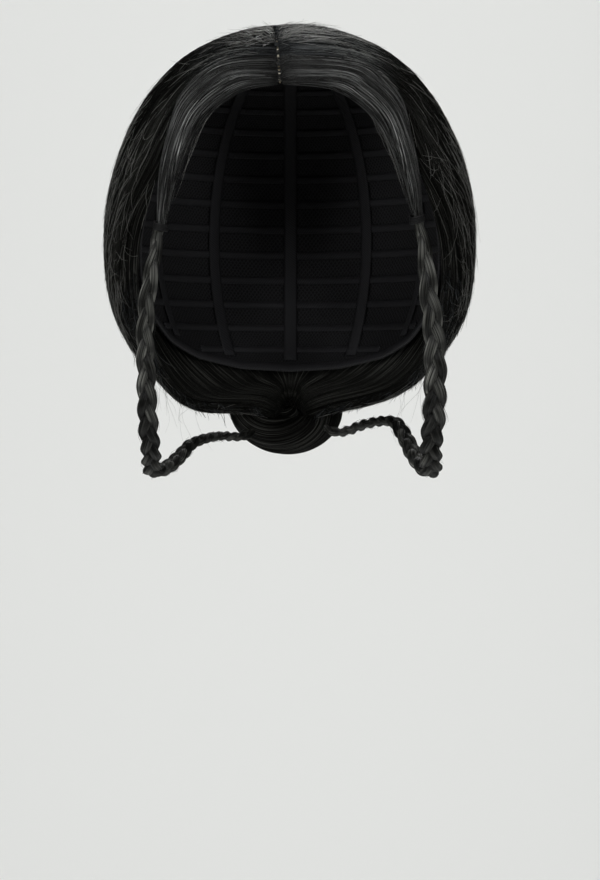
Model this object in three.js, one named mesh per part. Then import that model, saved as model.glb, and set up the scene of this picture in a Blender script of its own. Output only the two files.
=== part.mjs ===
// A black wig in its worn shape: a stretch cap, smooth hair parted down the middle and drawn back
// to a low knot, and a braid from each temple that hangs beside the face and loops back to the knot.
// Millimetres. +Z is up, -Y is the face and -X is the wearer's right.
// The origin is the crown of the head, where it meets the inside of the cap.

import * as THREE from "three";

// The head that the cap is stretched over, an ellipsoid 540 mm round.
const HEAD_HALF_WIDTH = 76;
const HEAD_HALF_DEPTH = 95;
const HEAD_HALF_HEIGHT = 96;

// Wall of the cap, and the height over the head at which the hair starts.
const CAP_WALL = 1.5;
const HAIR_BASE = 3.1;
const SEAM_GAP = 1.2;

// The parting, off centre towards the wearer's right, from the front hairline to the crown.
const PART_FRONT = { around: 4.5, up: 43.8 };
const PART_CROWN = { around: 162, up: 67 };
const PART_WIDTH = 2;
const PART_THICKNESS = 0.9;
const LOCK_SHARE = 0.19; // of the parting's length, in front, goes into the temple lock
const ROOT_LIFT = 7;

// Angles are in degrees: around from the face towards the side, up from the level of the ears.
// Lifts are millimetres over the head. A row is one section across the flow of the hair.

// Rim of the cap, from the middle of the forehead round the ear to the middle of the nape.
const CAP_RIM = [
  { around: 0, up: 48 },
  { around: 22, up: 47 },
  { around: 36, up: 42 },
  { around: 49, up: 38.5 },
  { around: 56, up: 36 },
  { around: 62, up: 22 },
  { around: 69, up: 5 },
  { around: 80, up: -9 },
  { around: 96, up: -24 },
  { around: 110, up: -33 },
  { around: 128, up: -39 },
  { around: 154, up: -43 },
  { around: 180, up: -44 },
];

// Temple lock, from the parting along the hairline down to its tie.
const LOCK_SECTIONS = [
  { frontAround: 19.5, frontUp: 42, backAround: 33, backUp: 48.5, base: HAIR_BASE, lift: 10 },
  { frontAround: 30.5, frontUp: 37.3, backAround: 43, backUp: 42.5, base: HAIR_BASE, lift: 10.5 },
  { frontAround: 38, frontUp: 30.5, backAround: 50, backUp: 35.5, base: HAIR_BASE, lift: 10 },
  { frontAround: 42, frontUp: 22.5, backAround: 52.3, backUp: 25.5, base: 2.4, lift: 8.5 },
  { frontAround: 45, frontUp: 14, backAround: 52, backUp: 15.5, base: 2.2, lift: 7.5 },
  { frontAround: 47.3, frontUp: 7.2, backAround: 51.8, backUp: 8, base: 2.2, lift: 6.4 },
  { frontAround: 49.5, frontUp: 0.8, backAround: 52, backUp: 0.8, base: 2.5, lift: 5.4 },
];

// Side hair, from the parting over the ear to the gather at the nape: first where its front and back
// edges lie, then how high it stands. On the wearer's left the front edge is leftRise degrees higher.
const SIDE_EDGES = [
  { frontAround: 35.5, frontUp: 49.8, leftRise: 0, backAround: 142, backUp: 58 },
  { frontAround: 52.5, frontUp: 36.8, leftRise: 0, backAround: 155, backUp: 36 },
  { frontAround: 59.5, frontUp: 15, leftRise: 0, backAround: 165, backUp: 15 },
  { frontAround: 68, frontUp: -3, leftRise: 0, backAround: 171, backUp: -4 },
  { frontAround: 82, frontUp: -19, leftRise: 1, backAround: 175, backUp: -18 },
  { frontAround: 102, frontUp: -36, leftRise: 4, backAround: 177.5, backUp: -29 },
  { frontAround: 131, frontUp: -46, leftRise: 5, backAround: 178.5, backUp: -36 },
  { frontAround: 165, frontUp: -43.5, leftRise: 0, backAround: 179, backUp: -40 },
];
const SIDE_LIFTS = [
  { base: HAIR_BASE, backBase: HAIR_BASE, lift: 12, midLift: 13, backLift: 13 },
  { base: HAIR_BASE, backBase: HAIR_BASE, lift: 13, midLift: 15, backLift: 15 },
  { base: HAIR_BASE, backBase: HAIR_BASE, lift: 14, midLift: 16.5, backLift: 15.5 },
  { base: HAIR_BASE, backBase: HAIR_BASE, lift: 17, midLift: 18, backLift: 15 },
  { base: 3.3, backBase: HAIR_BASE, lift: 19.5, midLift: 19, backLift: 15 },
  { base: 8, backBase: 3.5, lift: 20, midLift: 20, backLift: 16 },
  { base: 18, backBase: 8, lift: 29, midLift: 25, backLift: 20 },
  { base: 26, backBase: 16, lift: 38.5, midLift: 31, backLift: 26 },
];

const SIDE_DOWN = 12; // sections from the parting to the nape
const LOCK_DOWN = 15; // sections from the parting to the tie
const SIDE_LOCKS = 9;
const BACK_LOCKS = 5;
const LOCK_LOCKS = 3;
const RIDGE_DEPTH = 1.6; // from the top of a lock of hair to the valley beside it

// Each braid's route: where its middle runs, and how wide and how steeply plaited it is there.
const BRAID_RIGHT = [
  { x: -63.1, y: -61.6, z: -95.4, width: 3.6, pitch: 52 },
  { x: -65.6, y: -59, z: -109.7, width: 6.6, pitch: 52 },
  { x: -68.9, y: -54.5, z: -127, width: 8, pitch: 49 },
  { x: -70.5, y: -48, z: -147.3, width: 9, pitch: 45 },
  { x: -70.3, y: -41, z: -167, width: 9.6, pitch: 41 },
  { x: -69.9, y: -33, z: -187, width: 10, pitch: 38 },
  { x: -68.8, y: -22, z: -203.5, width: 10, pitch: 37 },
  { x: -68.2, y: -4, z: -214, width: 10, pitch: 36 },
  { x: -61, y: 14, z: -212, width: 9, pitch: 34 },
  { x: -55.3, y: 28, z: -206.5, width: 8, pitch: 32 },
  { x: -49.5, y: 43, z: -200.5, width: 7.4, pitch: 30 },
  { x: -38, y: 70, z: -197, width: 7, pitch: 30 },
  { x: -25, y: 96.1, z: -197, width: 6.8, pitch: 30 },
];
const BRAID_LEFT = [
  { x: 63.1, y: -61.6, z: -95.4, width: 3.2, pitch: 54 },
  { x: 65.9, y: -59, z: -109.7, width: 8, pitch: 54 },
  { x: 67.6, y: -55, z: -127, width: 9.6, pitch: 51 },
  { x: 70.6, y: -48, z: -147.3, width: 10.8, pitch: 47 },
  { x: 71.2, y: -41, z: -167, width: 11.4, pitch: 42 },
  { x: 71, y: -33, z: -187, width: 11.2, pitch: 39 },
  { x: 69.8, y: -22, z: -203, width: 11, pitch: 38 },
  { x: 70, y: -4, z: -214, width: 10.8, pitch: 37 },
  { x: 63.8, y: 14, z: -208.5, width: 9.4, pitch: 35 },
  { x: 58, y: 31, z: -197, width: 8.4, pitch: 33 },
  { x: 52.6, y: 46, z: -189.5, width: 7.8, pitch: 31 },
  { x: 40, y: 71, z: -190.5, width: 7.2, pitch: 30 },
  { x: 25.5, y: 95.7, z: -195, width: 6.8, pitch: 30 },
];
const BRAID_STEPS = 90;
const BRAID_SIDES = 12;
const STRANDS = 3;
// Shares of the braid's width: how far a strand swings sideways and fore and aft, its half sizes,
// and how far out the braid stays solid between strands.
const STRAND_SWING = 0.255;
const STRAND_WEAVE = 0.14;
const STRAND_HALF_WIDTH = 0.245;
const STRAND_HALF_DEPTH = 0.21;
const BRAID_CORE = 0.2;

// Elastic tie: turns of cord wound round the end of the lock, where the braid starts.
const TIE = { around: 50.8, up: 1, lift: 3.9 };
const TIE_BORE = 2.6;
const TIE_CORD = 0.9;
const TIE_TURNS = 4;
const TIE_VALLEY = 0.72; // share of the cord that stands out of the bore between two turns
const TIE_SIDES = 12;

// Low knot at the nape: a flattened coil of hair, round the Y axis.
const KNOT = { y: 111, z: -181, flatten: 0.76 };
const KNOT_PROFILE = [
  { radius: 0, depth: -17 },
  { radius: 22, depth: -17.5 },
  { radius: 32, depth: -13.5 },
  { radius: 37, depth: -4 },
  { radius: 36, depth: 6 },
  { radius: 29, depth: 14 },
  { radius: 20, depth: 16.5 },
  { radius: 12.5, depth: 11.5 },
  { radius: 7, depth: 15 },
  { radius: 0, depth: 16.5 },
];
const KNOT_SIDES = 30;
const KNOT_TWISTS = 5;
const KNOT_RIDGE = 0.035; // share of the radius

const HAIR = new THREE.MeshStandardMaterial({ color: 0x17181b, roughness: 0.42, metalness: 0 });
const NET = new THREE.MeshStandardMaterial({ color: 0x101012, roughness: 0.8, metalness: 0 });
const SKIN_TOP = new THREE.MeshStandardMaterial({ color: 0xb7a88f, roughness: 0.7, metalness: 0 });
const ELASTIC = new THREE.MeshStandardMaterial({ color: 0x0b0b0c, roughness: 0.6, metalness: 0 });

const RIGHT = -1;
const LEFT = 1;

// Directions and points on the head

function direction(side, around, up) {
  const a = THREE.MathUtils.degToRad(around);
  const u = THREE.MathUtils.degToRad(up);
  return new THREE.Vector3(side * Math.sin(a) * Math.cos(u), -Math.cos(a) * Math.cos(u), Math.sin(u));
}

function headNormal(d) {
  const n = new THREE.Vector3(d.x / HEAD_HALF_WIDTH, d.y / HEAD_HALF_DEPTH, d.z / HEAD_HALF_HEIGHT);
  return n.normalize();
}

// The point at a lift over the head in a direction from its middle.
function overHead(d, lift) {
  const onHead = new THREE.Vector3(
    HEAD_HALF_WIDTH * d.x,
    HEAD_HALF_DEPTH * d.y,
    HEAD_HALF_HEIGHT * (d.z - 1),
  );
  return onHead.addScaledVector(headNormal(d), lift);
}

function slerp(a, b, share) {
  const angle = a.angleTo(b);
  const from = Math.sin((1 - share) * angle) / Math.sin(angle);
  const to = Math.sin(share * angle) / Math.sin(angle);
  return a.clone().multiplyScalar(from).addScaledVector(b, to);
}

function partDirection(share) {
  const front = direction(RIGHT, PART_FRONT.around, PART_FRONT.up);
  const crown = direction(RIGHT, PART_CROWN.around, PART_CROWN.up);
  return slerp(front, crown, share);
}

// A column of a table at a share of the way down its rows, on a smooth curve through them.
function along(rows, column, share) {
  const last = rows.length - 1;
  const place = THREE.MathUtils.clamp(share * last, 0, last - 1e-9);
  const row = Math.floor(place);
  const f = place - row;
  const value = (k) => rows[THREE.MathUtils.clamp(k, 0, last)][column];
  const [a, b, c, d] = [value(row - 1), value(row), value(row + 1), value(row + 2)];
  const slopeIn = (c - a) / 2;
  const slopeOut = (d - b) / 2;
  const square = 3 * (c - b) - 2 * slopeIn - slopeOut;
  const cube = 2 * (b - c) + slopeIn + slopeOut;
  return b + f * (slopeIn + f * (square + f * cube));
}

// Closed meshes

function meshFrom(points, faces) {
  const geometry = new THREE.BufferGeometry().setFromPoints(points);
  geometry.setIndex(faces);
  return geometry;
}

function signedVolume(points, faces) {
  let six = 0;
  for (let i = 0; i < faces.length; i += 3) {
    const [a, b, c] = [points[faces[i]], points[faces[i + 1]], points[faces[i + 2]]];
    six += a.dot(new THREE.Vector3().crossVectors(b, c));
  }
  return six / 6;
}

function facingOut(points, faces) {
  if (signedVolume(points, faces) > 0) return meshFrom(points, faces);
  const turned = [];
  for (let i = 0; i < faces.length; i += 3) turned.push(faces[i], faces[i + 2], faces[i + 1]);
  return meshFrom(points, turned);
}

// A wall between two grids of points of the same size, closed along its four edges.
function wall(outer, inner) {
  const rows = outer.length;
  const columns = outer[0].length;
  const points = [...outer.flat(), ...inner.flat()];
  const out = (r, c) => r * columns + c;
  const inside = (r, c) => rows * columns + out(r, c);
  const faces = [];
  const quad = (a, b, c, d) => faces.push(a, b, c, a, c, d);
  for (let r = 0; r + 1 < rows; r++) {
    for (let c = 0; c + 1 < columns; c++) {
      quad(out(r, c), out(r, c + 1), out(r + 1, c + 1), out(r + 1, c));
      quad(inside(r, c), inside(r + 1, c), inside(r + 1, c + 1), inside(r, c + 1));
    }
    quad(out(r, 0), out(r + 1, 0), inside(r + 1, 0), inside(r, 0));
    quad(out(r + 1, columns - 1), out(r, columns - 1), inside(r, columns - 1), inside(r + 1, columns - 1));
  }
  for (let c = 0; c + 1 < columns; c++) {
    quad(out(0, c + 1), out(0, c), inside(0, c), inside(0, c + 1));
    quad(out(rows - 1, c), out(rows - 1, c + 1), inside(rows - 1, c + 1), inside(rows - 1, c));
  }
  return facingOut(points, faces);
}

// A tube through rings of points, closed at both ends by a fan.
function tube(rings) {
  const sides = rings[0].length;
  const points = rings.flat();
  const faces = [];
  for (let r = 0; r + 1 < rings.length; r++) {
    for (let i = 0; i < sides; i++) {
      const [a, b] = [r * sides + i, r * sides + ((i + 1) % sides)];
      faces.push(a, b, b + sides, a, b + sides, a + sides);
    }
  }
  const end = (rings.length - 1) * sides;
  for (let i = 1; i + 1 < sides; i++) faces.push(0, i + 1, i, end, end + i, end + i + 1);
  return facingOut(points, faces);
}

// Cap: a net shell over the head, open at the face and the neck

function capGeometry() {
  const columns = 40;
  const rings = 8;
  const topRing = 84; // the crown is closed by a small flat round inside this angle
  const outer = [];
  const inner = [];
  for (let r = 0; r <= rings; r++) {
    const outerRow = [];
    const innerRow = [];
    for (let c = 0; c < columns; c++) {
      const turn = (c / columns) * 360;
      const side = turn <= 180 ? LEFT : RIGHT;
      const around = turn <= 180 ? turn : 360 - turn;
      const up = THREE.MathUtils.lerp(topRing, rimUp(around), r / rings);
      const d = direction(side, around, up);
      outerRow.push(overHead(d, CAP_WALL));
      innerRow.push(overHead(d, 0));
    }
    outer.push(outerRow);
    inner.push(innerRow);
  }
  return closedCap(outer, inner);
}

function rimUp(around) {
  const next = CAP_RIM.findIndex((row) => row.around >= around);
  if (next <= 0) return CAP_RIM[0].up;
  const [from, to] = [CAP_RIM[next - 1], CAP_RIM[next]];
  return THREE.MathUtils.mapLinear(around, from.around, to.around, from.up, to.up);
}

function closedCap(outer, inner) {
  const columns = outer[0].length;
  const rings = outer.length;
  const upward = direction(LEFT, 0, 90);
  const points = [...outer.flat(), ...inner.flat(), overHead(upward, CAP_WALL), overHead(upward, 0)];
  const out = (r, c) => r * columns + (c % columns);
  const inside = (r, c) => rings * columns + out(r, c);
  const [outerCrown, innerCrown] = [2 * rings * columns, 2 * rings * columns + 1];
  const faces = [];
  const quad = (a, b, c, d) => faces.push(a, b, c, a, c, d);
  for (let c = 0; c < columns; c++) {
    faces.push(outerCrown, out(0, c), out(0, c + 1), innerCrown, inside(0, c + 1), inside(0, c));
    for (let r = 0; r + 1 < rings; r++) {
      quad(out(r, c), out(r + 1, c), out(r + 1, c + 1), out(r, c + 1));
      quad(inside(r, c), inside(r, c + 1), inside(r + 1, c + 1), inside(r + 1, c));
    }
    quad(out(rings - 1, c), inside(rings - 1, c), inside(rings - 1, c + 1), out(rings - 1, c + 1));
  }
  return facingOut(points, faces);
}

// Parting: a narrow skin-coloured strip on the cap, between the roots of the two sides

function partingGeometry() {
  const steps = 14;
  const endInset = 0.02; // share of its length left free at each end
  const outer = [];
  const inner = [];
  for (let i = 0; i <= steps; i++) {
    const d = partDirection(THREE.MathUtils.lerp(endInset, 1 - endInset, i / steps));
    const across = new THREE.Vector3(PART_WIDTH / 2, 0, 0);
    const bottom = overHead(d, HAIR_BASE - PART_THICKNESS);
    const top = overHead(d, HAIR_BASE);
    outer.push([top.clone().sub(across), top.clone().add(across)]);
    inner.push([bottom.clone().sub(across), bottom.clone().add(across)]);
  }
  return wall(outer, inner);
}

// Hair: a wall lofted through the sections of a table, with its outer face in locks

// How much of the hair's lift stands at a share of the way across a section: round at both edges.
function edgeRound(share, frontEdge, backEdge) {
  const sharpness = 5;
  const middle = 2 * share - 1;
  const least = middle < 0 ? frontEdge : backEdge;
  return least + (1 - least) * Math.sqrt(1 - Math.abs(middle) ** sharpness);
}

function ridge(share, locks) {
  return RIDGE_DEPTH * (Math.abs(Math.sin(Math.PI * locks * share)) - 1);
}

// The sections lie closer together near the parting, where the hair rises.
function downShare(row, down) {
  const crowding = 1.25;
  return (row / down) ** crowding;
}

// One section at a share of the way down a table: its two edges and its heights over the head.
function tableSection(rows, side, share) {
  const at = (column) => along(rows, column, share);
  return {
    front: direction(side, at("frontAround"), at("frontUp")),
    back: direction(side, at("backAround"), at("backUp")),
    base: at("base"),
    backBase: at("backBase"),
    lift: at("lift"),
    midLift: at("midLift"),
    backLift: at("backLift"),
  };
}

function tableSections(rows, side, down) {
  return Array.from({ length: down + 1 }, (_, r) => tableSection(rows, side, downShare(r, down)));
}

function hairWall(sections, { across, locks, frontEdge, backEdge }) {
  const outer = [];
  const inner = [];
  for (const { front, back, base, backBase, lift, midLift, backLift } of sections) {
    const inset = SEAM_GAP / 2 / HEAD_HALF_DEPTH / front.angleTo(back);
    const outerRow = [];
    const innerRow = [];
    for (let c = 0; c <= across; c++) {
      const s = c / across;
      const d = slerp(front, back, THREE.MathUtils.lerp(inset, 1 - inset, s));
      const bottom = THREE.MathUtils.lerp(base, backBase, s);
      const top = lift * (1 - s) * (1 - 2 * s) + midLift * 4 * s * (1 - s) + backLift * s * (2 * s - 1);
      const height = (top - bottom) * edgeRound(s, frontEdge, backEdge) + ridge(s, locks);
      outerRow.push(overHead(d, bottom + Math.max(height, CAP_WALL)));
      innerRow.push(overHead(d, bottom));
    }
    outer.push(outerRow);
    inner.push(innerRow);
  }
  return wall(outer, inner);
}

// The section at the parting, between two shares of its length, just clear of the strip on one side.
function rootRow(side, frontShare, backShare) {
  const bearing = (share) => {
    const d = partDirection(share);
    d.x += (side * (PART_WIDTH / 2 + SEAM_GAP / 4)) / HEAD_HALF_WIDTH;
    d.normalize();
    const around = THREE.MathUtils.radToDeg(Math.atan2(side * d.x, -d.y));
    return { around: around < -90 ? around + 360 : around, up: THREE.MathUtils.radToDeg(Math.asin(d.z)) };
  };
  const [front, back] = [bearing(frontShare), bearing(backShare)];
  return {
    frontAround: front.around,
    frontUp: front.up,
    backAround: back.around,
    backUp: back.up,
    base: HAIR_BASE,
    backBase: HAIR_BASE,
    lift: ROOT_LIFT,
    midLift: ROOT_LIFT,
    backLift: ROOT_LIFT,
  };
}

function lockGeometry(side) {
  const body = LOCK_SECTIONS.map((row) => ({
    ...row,
    backBase: row.base,
    midLift: row.lift,
    backLift: row.lift,
  }));
  const rows = [rootRow(side, 0, LOCK_SHARE), ...body];
  const shape = { across: 6, locks: LOCK_LOCKS, frontEdge: 0.3, backEdge: 0.4 };
  return hairWall(tableSections(rows, side, LOCK_DOWN), shape);
}

function sideRows(side) {
  const rise = side === LEFT ? 1 : 0;
  const body = SIDE_EDGES.map((edge, i) => ({
    ...edge,
    ...SIDE_LIFTS[i],
    frontUp: edge.frontUp + rise * edge.leftRise,
  }));
  return [rootRow(side, LOCK_SHARE, 1), ...body];
}

function sideGeometry(side) {
  const shape = { across: 27, locks: SIDE_LOCKS, frontEdge: 0.25, backEdge: 0.7 };
  return hairWall(tableSections(sideRows(side), side, SIDE_DOWN), shape);
}

// Back hair: hangs from the crown between the back edges of the two sides and narrows to the gather.
function backGeometry() {
  const rightSections = tableSections(sideRows(RIGHT), RIGHT, SIDE_DOWN);
  const leftSections = tableSections(sideRows(LEFT), LEFT, SIDE_DOWN);
  const sections = rightSections.map((right, r) => ({
    front: right.back,
    back: leftSections[r].back,
    base: right.backBase,
    backBase: right.backBase,
    lift: right.backLift,
    midLift: right.backLift,
    backLift: right.backLift,
  }));
  const shape = { across: 15, locks: BACK_LOCKS, frontEdge: 0.7, backEdge: 0.7 };
  return hairWall(sections.slice(1, -1), shape);
}

// Braids: a tube whose section is the outline of three strands that cross over in turn

function braidGeometry(route) {
  const line = new THREE.CatmullRomCurve3(route.map((row) => new THREE.Vector3(row.x, row.y, row.z)));
  const stepLength = line.getLength() / BRAID_STEPS;
  const rings = [];
  let turns = 0;
  let across = new THREE.Vector3(1, 0, 0);
  for (let i = 0; i <= BRAID_STEPS; i++) {
    const t = line.getUtoTmapping(i / BRAID_STEPS);
    const forward = line.getTangent(t);
    across = across.clone().addScaledVector(forward, -across.dot(forward)).normalize();
    const face = new THREE.Vector3().crossVectors(across, forward);
    const width = along(route, "width", t);
    const middle = line.getPoint(t);
    rings.push(
      braidOutline(turns).map(({ sideways, outward }) =>
        middle.clone().addScaledVector(across, sideways * width).addScaledVector(face, outward * width),
      ),
    );
    turns += stepLength / along(route, "pitch", t);
  }
  return tube(rings);
}

// The outline of the strands at one section, in shares of the braid's width.
// A strand swings from side to side, and lies in front while it moves in towards the middle.
function braidOutline(turns) {
  const strands = [];
  for (let k = 0; k < STRANDS; k++) {
    const angle = 2 * Math.PI * (turns + k / STRANDS);
    const sideways = STRAND_SWING * Math.sin(angle);
    const outward = -STRAND_WEAVE * Math.sin(2 * angle);
    strands.push({ sideways, outward });
  }
  const outline = [];
  for (let i = 0; i < BRAID_SIDES; i++) {
    const a = (2 * Math.PI * i) / BRAID_SIDES;
    const reaches = strands.map((strand) => strandReach(strand, Math.cos(a), Math.sin(a)));
    const reach = Math.max(BRAID_CORE, ...reaches);
    outline.push({ sideways: reach * Math.cos(a), outward: reach * Math.sin(a) });
  }
  return outline;
}

// How far from the braid's middle a ray leaves the oval of a strand, or 0 where it misses it.
// Dividing by the oval's half sizes turns it into a circle of radius 1.
function strandReach({ sideways, outward }, rayX, rayY) {
  const middle = new THREE.Vector2(sideways / STRAND_HALF_WIDTH, outward / STRAND_HALF_DEPTH);
  const ray = new THREE.Vector2(rayX / STRAND_HALF_WIDTH, rayY / STRAND_HALF_DEPTH);
  const along = ray.dot(middle);
  const inRoot = along ** 2 - ray.lengthSq() * (middle.lengthSq() - 1);
  return inRoot < 0 ? 0 : (along + Math.sqrt(inRoot)) / ray.lengthSq();
}

// Ties: turns of elastic cord side by side, as one ring round the end of the lock

function tieMesh(name, side, route) {
  const profile = [];
  const half = (TIE_TURNS * TIE_CORD) / 2;
  const valley = TIE_BORE + TIE_CORD * TIE_VALLEY;
  const crest = TIE_BORE + TIE_CORD;
  for (let k = 0; k < TIE_TURNS; k++) {
    const low = k * TIE_CORD - half;
    profile.push(new THREE.Vector2(valley, low), new THREE.Vector2(crest, low + TIE_CORD / 2));
  }
  profile.push(new THREE.Vector2(valley, half));
  profile.push(new THREE.Vector2(TIE_BORE, half), new THREE.Vector2(TIE_BORE, -half), profile[0].clone());
  const mesh = new THREE.Mesh(new THREE.LatheGeometry(profile, TIE_SIDES), ELASTIC);
  mesh.name = name;
  const [start, next] = route.map((row) => new THREE.Vector3(row.x, row.y, row.z));
  mesh.position.copy(overHead(direction(side, TIE.around, TIE.up), TIE.lift));
  mesh.quaternion.setFromUnitVectors(new THREE.Vector3(0, 1, 0), start.sub(next).normalize());
  return mesh;
}

// Knot: a coil of hair with twisted ridges, flatter up and down than across

function knotGeometry() {
  const rings = KNOT_PROFILE.slice(1, -1);
  const points = [new THREE.Vector3(0, KNOT_PROFILE[0].depth, 0)];
  rings.forEach(({ radius, depth }, r) => {
    for (let i = 0; i < KNOT_SIDES; i++) {
      const turn = i / KNOT_SIDES;
      const swirl = Math.cos(2 * Math.PI * (KNOT_TWISTS * turn + r / rings.length));
      const out = radius * (1 + KNOT_RIDGE * swirl);
      const a = 2 * Math.PI * turn;
      points.push(new THREE.Vector3(out * Math.cos(a), depth, out * Math.sin(a) * KNOT.flatten));
    }
  });
  const tip = points.push(new THREE.Vector3(0, KNOT_PROFILE.at(-1).depth, 0)) - 1;
  const at = (r, i) => 1 + r * KNOT_SIDES + (i % KNOT_SIDES);
  const faces = [];
  for (let i = 0; i < KNOT_SIDES; i++) {
    faces.push(0, at(0, i), at(0, i + 1), tip, at(rings.length - 1, i + 1), at(rings.length - 1, i));
    for (let r = 0; r + 1 < rings.length; r++) {
      faces.push(at(r, i), at(r + 1, i), at(r + 1, i + 1), at(r, i), at(r + 1, i + 1), at(r, i + 1));
    }
  }
  return facingOut(points, faces);
}

// Assembly

const wig = new THREE.Group();

function place(name, geometry, material) {
  const mesh = new THREE.Mesh(geometry, material);
  mesh.name = name;
  wig.add(mesh);
  return mesh;
}

place("cap", capGeometry(), NET);
place("parting", partingGeometry(), SKIN_TOP);
place("side_hair_right", sideGeometry(RIGHT), HAIR);
place("side_hair_left", sideGeometry(LEFT), HAIR);
place("back_hair", backGeometry(), HAIR);
place("temple_lock_right", lockGeometry(RIGHT), HAIR);
place("temple_lock_left", lockGeometry(LEFT), HAIR);
wig.add(tieMesh("tie_right", RIGHT, BRAID_RIGHT), tieMesh("tie_left", LEFT, BRAID_LEFT));
place("braid_right", braidGeometry(BRAID_RIGHT), HAIR);
place("braid_left", braidGeometry(BRAID_LEFT), HAIR);
place("nape_knot", knotGeometry(), HAIR).position.set(0, KNOT.y, KNOT.z);

export default wig;
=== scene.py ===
import math

import bpy
import numpy as np
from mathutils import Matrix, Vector


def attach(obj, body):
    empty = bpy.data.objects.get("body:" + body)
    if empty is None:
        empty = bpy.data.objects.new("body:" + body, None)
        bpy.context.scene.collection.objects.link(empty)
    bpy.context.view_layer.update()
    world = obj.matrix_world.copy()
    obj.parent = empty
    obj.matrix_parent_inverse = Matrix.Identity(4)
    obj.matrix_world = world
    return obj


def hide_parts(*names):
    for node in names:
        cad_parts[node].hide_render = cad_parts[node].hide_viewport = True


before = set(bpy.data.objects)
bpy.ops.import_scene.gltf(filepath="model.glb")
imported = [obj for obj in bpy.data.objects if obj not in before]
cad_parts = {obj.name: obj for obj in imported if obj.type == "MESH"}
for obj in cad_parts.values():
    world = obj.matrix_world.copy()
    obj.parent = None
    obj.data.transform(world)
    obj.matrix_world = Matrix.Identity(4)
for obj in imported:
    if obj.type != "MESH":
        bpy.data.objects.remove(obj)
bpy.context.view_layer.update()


# Studio. A seamless sweep of pale paper, with soft boxes above, in front, at both sides and behind, and
# a wide lamp that washes the paper. The camera stands two metres off, level with the braids.

MM = 0.001
PIXEL = 0.5 * MM
FRAME_HEIGHT = 880
CAMERA_AT = (5 * MM, -2.0, -199 * MM)
FLOOR_LEVEL = -1.0
FLOOR_FLAT = 0.01
SWEEP_DEPTH = 6.6
SWEEP_MIDDLE = 2.7
SWEEP_WIDTH = 2.7
SWEEP_HEIGHT = 5.0
SWEEP_BEND = 2.0
BEND_SEGMENTS = 32
PAPER = "#e9eae8"
AIR_SEEN = 0.92
AIR_LIGHT = 0.08
# Where each lamp stands and what it is aimed at, its size in metres and its watts.
SOFT_BOXES = {
    "key_box": ((-0.5, -1.0, 1.75), (0, 0, -0.05), 0.6, 26),
    "front_box_left": ((-0.95, -1.7, 0.1), (0, 0, -0.12), 0.4, 12),
    "front_box_right": ((0.95, -1.7, 0.1), (0, 0, -0.12), 0.4, 11),
    "side_box_left": ((-2.0, -0.3, 0.5), (0, 0, -0.1), 0.7, 3),
    "side_box_right": ((2.0, -0.3, 0.5), (0, 0, -0.1), 0.7, 3),
    "rear_box": ((0.2, 1.8, 1.0), (0, 0, -0.1), 0.8, 24),
    "paper_wash": ((0, 2.2, 3.2), (0, 5.5, -0.2), 3.0, 180),
}


def to_linear(hex_colour):
    channels = [int(hex_colour[k:k + 2], 16) / 255 for k in (1, 3, 5)]
    linear = [c / 12.92 if c <= 0.04045 else ((c + 0.055) / 1.055) ** 2.4 for c in channels]
    return (*linear, 1.0)


def set_inputs(tree, node, inputs):
    """Links the inputs that come from other nodes, and sets the rest on their own sockets."""
    for socket, value in inputs.items():
        if isinstance(value, bpy.types.NodeSocket):
            tree.links.new(value, node.inputs[socket])
        else:
            node.inputs[socket].default_value = value


def add_node(tree, kind, inputs=None, output=0, **settings):
    """A new node of the kind, set and linked. Gives back one of its outputs."""
    node = tree.nodes.new("ShaderNode" + kind)
    for name, value in settings.items():
        setattr(node, name, value)
    set_inputs(tree, node, inputs or {})
    return node.outputs[output]


def new_material(name):
    material = bpy.data.materials.new(name)
    material.use_nodes = True
    tree = material.node_tree
    return material, tree, tree.nodes["Principled BSDF"]


bpy.ops.object.select_all(action="DESELECT")
bpy.ops.object.camera_add(location=CAMERA_AT, rotation=(math.pi / 2, 0, 0))
camera = bpy.context.object
camera.data.lens = camera.data.sensor_width * -CAMERA_AT[1] / (FRAME_HEIGHT * PIXEL)
bpy.context.scene.camera = camera
bpy.context.scene.view_settings.view_transform = "Standard"

bpy.ops.mesh.primitive_plane_add(size=SWEEP_DEPTH, location=(0, SWEEP_MIDDLE, FLOOR_LEVEL))
sweep = bpy.context.object
sweep.name = "paper_sweep"
sweep.scale.x = SWEEP_WIDTH / SWEEP_DEPTH
bpy.ops.object.transform_apply(location=False, rotation=False, scale=True)
for edge in sweep.data.edges:
    edge.select = all(sweep.data.vertices[v].co.y > 0 for v in edge.vertices)
for face in sweep.data.polygons:
    face.select = False
for vertex in sweep.data.vertices:
    vertex.select = vertex.co.y > 0
bpy.ops.object.mode_set(mode="EDIT")
bpy.ops.mesh.select_mode(type="EDGE")
bpy.ops.mesh.extrude_region_move(TRANSFORM_OT_translate={"value": (0, 0, SWEEP_HEIGHT)})
bpy.ops.mesh.select_all(action="DESELECT")
bpy.ops.object.mode_set(mode="OBJECT")
for edge in sweep.data.edges:
    ends = [sweep.data.vertices[v].co for v in edge.vertices]
    edge.select = all(end.y > 0 and abs(end.z) < FLOOR_FLAT for end in ends)
bpy.ops.object.mode_set(mode="EDIT")
bpy.ops.mesh.bevel(offset=SWEEP_BEND, segments=BEND_SEGMENTS, affect="EDGES")
bpy.ops.object.mode_set(mode="OBJECT")
bpy.ops.object.shade_smooth()
bpy.ops.object.transform_apply(location=True, rotation=True, scale=True)

# Matt paper: even and pale, with next to no shine.
paper, paper_tree, paper_shader = new_material("matt_paper")
set_inputs(paper_tree, paper_shader, {
    "Base Color": to_linear(PAPER), "Roughness": 0.9, "Specular IOR Level": 0.1,
})
sweep.data.materials.append(paper)

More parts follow.
